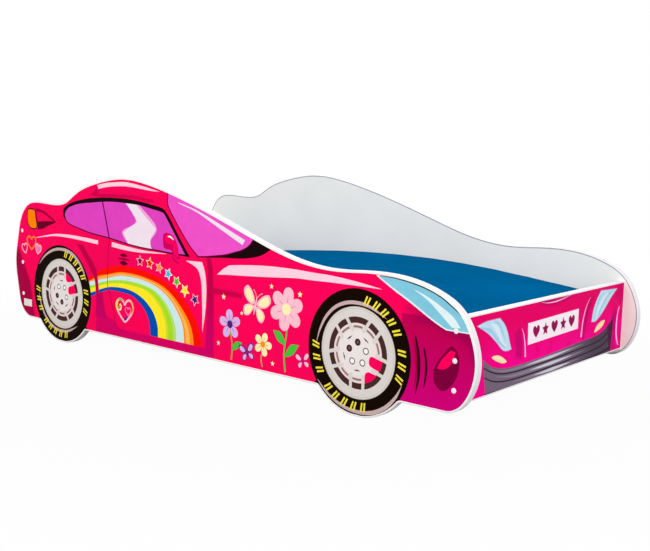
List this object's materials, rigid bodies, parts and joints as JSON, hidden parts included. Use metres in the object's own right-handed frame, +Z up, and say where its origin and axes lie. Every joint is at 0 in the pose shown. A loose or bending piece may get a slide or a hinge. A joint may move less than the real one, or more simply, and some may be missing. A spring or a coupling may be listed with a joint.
{
  "type": "car bed",
  "caption": "Children's car bed: two car-shaped printed side boards on wheel lobes, head and foot boards, slatted base and a loose mattress.",
  "frame": {"origin": "on the floor under the middle of the bed's bounding box", "axes": "+X along the bed to the car's nose and the sleeper's feet, -Y towards the side board that faces the room, +Z up"},
  "size_m": [1.5082, 0.7436, 0.4497],
  "materials": {
    "printed_board": "chipboard with a smooth semi-gloss laminate, printed hot pink with car artwork on its outer face",
    "white_board": "chipboard with a smooth satin white laminate",
    "edge_band": "satin white plastic edge band with rounded corners",
    "white_plastic": "glossy white plastic cap",
    "zinc_steel": "zinc-plated steel",
    "staple_steel": "galvanised steel wire",
    "beech": "turned beech",
    "pine": "planed unfinished pine",
    "webbing": "woven polypropylene webbing",
    "blue_cloth": "closely woven royal blue cover cloth",
    "foam": "cream polyurethane foam"
  },
  "bodies": {
    "bedstead": {"far_batten": "pine", "far_batten_screws": "zinc_steel", "far_body_edge_band": "edge_band", "far_foot_connector_screws": "zinc_steel", "far_foot_cover_caps": "white_plastic", "far_foot_dowels": "beech", "far_front_wheel_edge_band": "edge_band", "far_head_connector_screws": "zinc_steel", "far_head_cover_caps": "white_plastic", "far_head_dowels": "beech", "far_rear_wheel_edge_band": "edge_band", "far_side_panel": "printed_board", "far_sill_edge_band": "edge_band", "far_webbing_strap": "webbing", "foot_bottom_edge_band": "edge_band", "foot_panel": "printed_board", "foot_top_edge_band": "edge_band", "head_bottom_edge_band": "edge_band", "head_panel": "white_board", "head_top_edge_band": "edge_band", "near_batten": "pine", "near_batten_screws": "zinc_steel", "near_body_edge_band": "edge_band", "near_foot_connector_screws": "zinc_steel", "near_foot_cover_caps": "white_plastic", "near_foot_dowels": "beech", "near_front_wheel_edge_band": "edge_band", "near_head_connector_screws": "zinc_steel", "near_head_cover_caps": "white_plastic", "near_head_dowels": "beech", "near_rear_wheel_edge_band": "edge_band", "near_side_panel": "printed_board", "near_sill_edge_band": "edge_band", "near_webbing_strap": "webbing", "slat_01": "pine", "slat_02": "pine", "slat_03": "pine", "slat_04": "pine", "slat_05": "pine", "slat_06": "pine", "slat_07": "pine", "slat_08": "pine", "slat_09": "pine", "slat_10": "pine", "slat_11": "pine", "slat_12": "pine", "slat_13": "pine", "slat_screws": "zinc_steel", "webbing_staples": "staple_steel"},
    "mattress": {"mattress_cover": "blue_cloth", "mattress_foam": "foam"}
  },
  "joints": [
    {"name": "mattress_lift", "type": "slide", "parent": "bedstead", "child": "mattress", "axis": [0, 0, 1], "range_m": [0, 0.45]}
  ]
}
